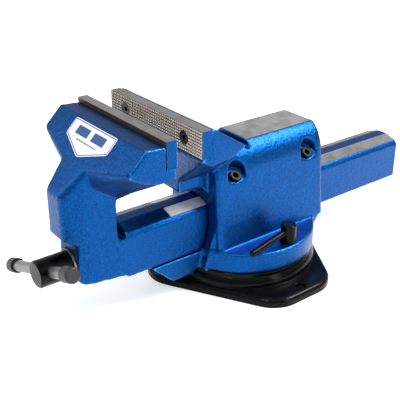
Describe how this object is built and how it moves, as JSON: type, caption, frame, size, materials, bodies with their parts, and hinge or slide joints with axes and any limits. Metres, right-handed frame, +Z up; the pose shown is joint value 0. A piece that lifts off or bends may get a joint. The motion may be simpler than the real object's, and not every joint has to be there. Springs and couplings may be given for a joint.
{
  "type": "bench vise",
  "caption": "Bench vise on a swivel base with serrated jaws, an anvil, a square guide bar, a lead screw with a sliding tommy bar and swivel locks.",
  "frame": {"origin": "on the swivel axis at the underside of the base, which rests on the bench", "axes": "+Z up along the swivel axis; +Y along the guide bar from the handle to the rear; +X to the right seen from the handle"},
  "size_m": [0.1524, 0.3766, 0.158],
  "materials": {
    "blue_enamel": "glossy metallic enamel over cast iron, slight orange peel",
    "jaw_steel": "hardened serrated steel",
    "screw_steel": "blackened steel screw",
    "black_enamel": "glossy black enamel",
    "black_steel": "blackened steel, satin",
    "bright_steel": "turned steel",
    "cap_plastic": "black moulded plastic",
    "label": "white plastic label",
    "bronze": "turned bronze"
  },
  "bodies": {
    "base": {"base_plate": "black_enamel", "swivel_pin": "bright_steel", "swivel_circlip": "screw_steel"},
    "body": {"body_casting": "blue_enamel", "fixed_jaw_plate": "jaw_steel", "fixed_jaw_screws": "screw_steel", "spindle_nut": "bronze", "nut_screws": "screw_steel", "guide_shoe_right": "bronze", "guide_shoe_left": "bronze", "guide_screws_right": "screw_steel", "guide_screws_left": "screw_steel", "lock_bolt_right": "bright_steel", "lock_bolt_left": "bright_steel"},
    "right_lock": {"lock_nut_right": "black_steel", "lock_lever_right": "black_steel"},
    "left_lock": {"lock_nut_left": "black_steel", "lock_lever_left": "black_steel"},
    "slide": {"moving_jaw": "blue_enamel", "moving_jaw_plate": "jaw_steel", "moving_jaw_screws": "screw_steel", "label_plate": "label", "spindle_bush": "bronze"},
    "screw": {"spindle": "black_steel", "thrust_washer": "bright_steel", "retaining_collar": "bright_steel", "collar_pin": "bright_steel"},
    "handle": {"tommy_bar": "bright_steel", "tommy_cap_far": "cap_plastic", "tommy_cap_near": "cap_plastic"}
  },
  "joints": [
    {"name": "swivel", "type": "hinge", "parent": "base", "child": "body", "pos_m": [0, 0, 0], "axis": [0, 0, 1], "continuous": true},
    {"name": "jaw_slide", "type": "slide", "parent": "body", "child": "slide", "axis": [0, -1, 0], "range_m": [-0.0198, 0.105]},
    {"name": "spindle_turn", "type": "hinge", "parent": "slide", "child": "screw", "pos_m": [0, -0.15, 0.0545], "axis": [0, -1, 0], "range_deg": [-1800, 9460]},
    {"name": "tommy_slide", "type": "slide", "parent": "screw", "child": "handle", "axis": [0.9272, 0, 0.3746], "range_m": [-0.0215, 0.0485]},
    {"name": "right_lock_turn", "type": "hinge", "parent": "body", "child": "right_lock", "pos_m": [0.05377, 0.00499, 0.045], "axis": [0, 0, 1], "range_deg": [-15, 180]},
    {"name": "left_lock_turn", "type": "hinge", "parent": "body", "child": "left_lock", "pos_m": [-0.05377, -0.00499, 0.045], "axis": [0, 0, 1], "range_deg": [-15, 180]}
  ],
  "couplings": [
    {"joint": "spindle_turn", "follows": "jaw_slide", "rad_per_m": 1570.8}
  ]
}
